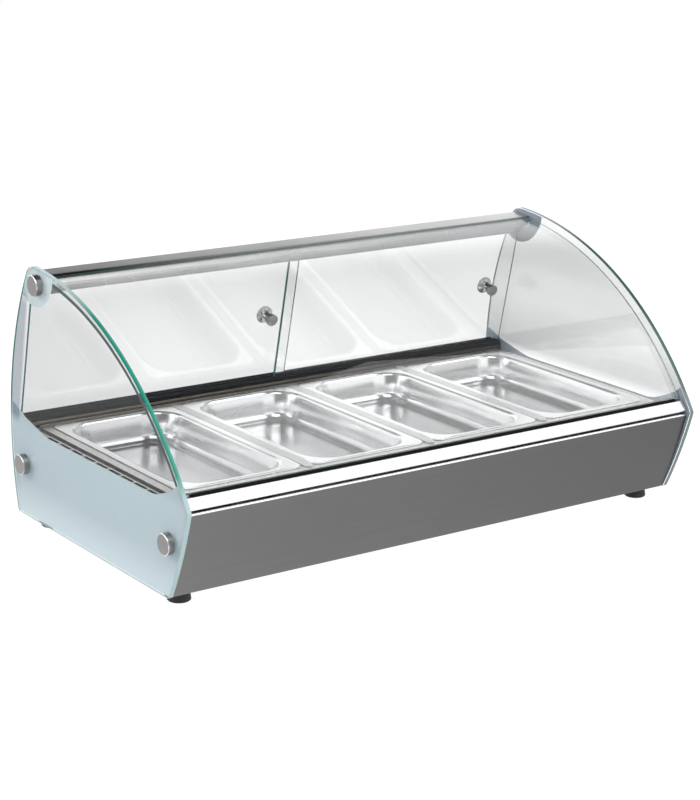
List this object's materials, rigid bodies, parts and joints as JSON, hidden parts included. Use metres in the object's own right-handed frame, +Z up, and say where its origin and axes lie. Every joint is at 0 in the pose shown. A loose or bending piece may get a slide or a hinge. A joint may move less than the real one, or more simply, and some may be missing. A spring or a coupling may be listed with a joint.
{
  "type": "heated display case",
  "caption": "Countertop heated display case with curved front glass, clear end panels, sliding rear glass doors and lift-out food pans in a heated well.",
  "frame": {"origin": "centre of the footprint of the bounding box, on the surface that the feet stand on", "axes": "X along the length of the case, -Y towards the customer, +Y towards the server, +Z up"},
  "size_m": [0.8286, 0.4514, 0.3595],
  "materials": {
    "clear_glass": "clear",
    "panel_glass": "clear, painted lower zone",
    "brushed_steel": "brushed",
    "bright_steel": "bright",
    "satin_steel": "satin",
    "chrome": "polished",
    "rail_aluminium": "satin anodised",
    "zinc_sheet": "galvanised",
    "black_plastic": "matt",
    "black_rubber": "matt",
    "clear_plastic": "translucent",
    "mineral_wool": "fibrous",
    "element_steel": "heat dulled",
    "ceramic_white": "glazed",
    "lamp_red": "clear gloss"
  },
  "bodies": {
    "case": {"back_left_foot": "black_rubber", "back_right_foot": "black_rubber", "base_tray": "zinc_sheet", "cable_gland": "black_plastic", "deck_plate": "bright_steel", "divider_bar_1": "satin_steel", "divider_bar_2": "satin_steel", "divider_bar_3": "satin_steel", "door_sill": "satin_steel", "door_track": "black_plastic", "front_band": "bright_steel", "front_glass": "clear_glass", "front_heating_element": "element_steel", "front_left_foot": "black_rubber", "front_panel": "brushed_steel", "front_right_foot": "black_rubber", "glass_gasket": "black_rubber", "insulation_mat": "mineral_wool", "left_back_bolt": "satin_steel", "left_back_washer": "clear_plastic", "left_end_panel": "panel_glass", "left_front_bolt": "satin_steel", "left_front_washer": "clear_plastic", "left_heater_bracket": "zinc_sheet", "left_side_plate": "zinc_sheet", "left_top_bolt": "satin_steel", "left_top_washer": "clear_plastic", "pilot_lamp": "lamp_red", "rear_heating_element": "element_steel", "rear_panel": "brushed_steel", "right_back_bolt": "satin_steel", "right_back_washer": "clear_plastic", "right_end_panel": "panel_glass", "right_front_bolt": "satin_steel", "right_front_washer": "clear_plastic", "right_heater_bracket": "zinc_sheet", "right_side_plate": "zinc_sheet", "right_top_bolt": "satin_steel", "right_top_washer": "clear_plastic", "switch_housing": "black_plastic", "terminal_block": "ceramic_white", "thermostat_body": "black_plastic", "top_rail": "rail_aluminium", "well_tray": "satin_steel"},
    "left_door_body": {"left_door": "clear_glass", "left_door_knob": "chrome", "left_knob_cap": "chrome"},
    "right_door_body": {"right_door": "clear_glass", "right_door_knob": "chrome", "right_knob_cap": "chrome"},
    "pan_1": {"food_pan_1": "bright_steel"},
    "pan_2": {"food_pan_2": "bright_steel"},
    "pan_3": {"food_pan_3": "bright_steel"},
    "pan_4": {"food_pan_4": "bright_steel"},
    "dial": {"thermostat_knob": "black_plastic", "thermostat_shaft": "satin_steel"},
    "rocker": {"switch_rocker": "black_plastic"}
  },
  "joints": [
    {"name": "left_door_slide", "type": "slide", "parent": "case", "child": "left_door_body", "axis": [1, 0, 0], "range_m": [0, 0.325]},
    {"name": "right_door_slide", "type": "slide", "parent": "case", "child": "right_door_body", "axis": [1, 0, 0], "range_m": [-0.325, 0]},
    {"name": "pan_1_lift", "type": "slide", "parent": "case", "child": "pan_1", "axis": [0, 0, 1], "range_m": [0, 0.05]},
    {"name": "pan_2_lift", "type": "slide", "parent": "case", "child": "pan_2", "axis": [0, 0, 1], "range_m": [0, 0.05]},
    {"name": "pan_3_lift", "type": "slide", "parent": "case", "child": "pan_3", "axis": [0, 0, 1], "range_m": [0, 0.05]},
    {"name": "pan_4_lift", "type": "slide", "parent": "case", "child": "pan_4", "axis": [0, 0, 1], "range_m": [0, 0.05]},
    {"name": "dial_turn", "type": "hinge", "parent": "case", "child": "dial", "pos_m": [-0.245, 0.21, 0.078], "axis": [0, 1, 0], "range_deg": [0, 270]},
    {"name": "rocker_tip", "type": "hinge", "parent": "case", "child": "rocker", "pos_m": [-0.33, 0.2038, 0.078], "axis": [1, 0, 0], "range_deg": [0, 14]}
  ]
}
